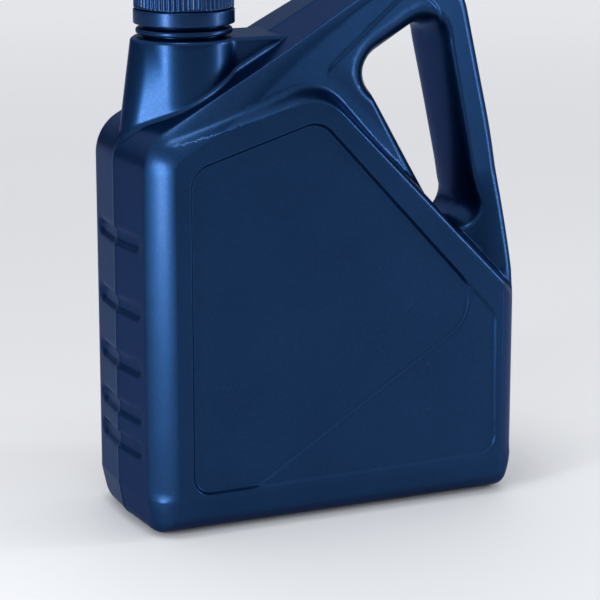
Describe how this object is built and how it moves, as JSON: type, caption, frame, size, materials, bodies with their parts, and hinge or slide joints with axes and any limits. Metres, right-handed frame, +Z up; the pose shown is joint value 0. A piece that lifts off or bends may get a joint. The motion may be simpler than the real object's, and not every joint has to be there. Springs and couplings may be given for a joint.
{
  "type": "motor oil bottle",
  "caption": "Blue blow-moulded motor oil jug with an off-centre neck, ribbed screw cap on a tamper ring, hollow side handle and sunk label panels.",
  "frame": {"origin": "centre of the flat base, under the middle of the bottle's outer box", "axes": "+Z up; +X from the neck to the handle; the label panels face -Y and +Y"},
  "size_m": [0.208, 0.09, 0.275],
  "materials": {
    "jug_plastic": "satin metallic blue polyethylene, fine flake, smooth moulded skin",
    "cap_plastic": "satin blue polypropylene with moulded ribs",
    "liner_foam": "white foamed polyethylene"
  },
  "bodies": {
    "jug": {"bottle": "jug_plastic", "tamper_ring": "cap_plastic"},
    "seal": {"liner": "liner_foam"},
    "closure": {"cap": "cap_plastic"}
  },
  "joints": [
    {"name": "cap_lift", "type": "slide", "parent": "jug", "child": "seal", "axis": [0, 0, 1], "range_m": [0, 0.01]},
    {"name": "cap_turn", "type": "hinge", "parent": "seal", "child": "closure", "pos_m": [-0.066, 0, 0.26], "axis": [0, 0, 1], "range_deg": [0, 720]}
  ],
  "couplings": [
    {"joint": "cap_lift", "follows": "cap_turn", "m_per_rad": 0.00079577}
  ]
}
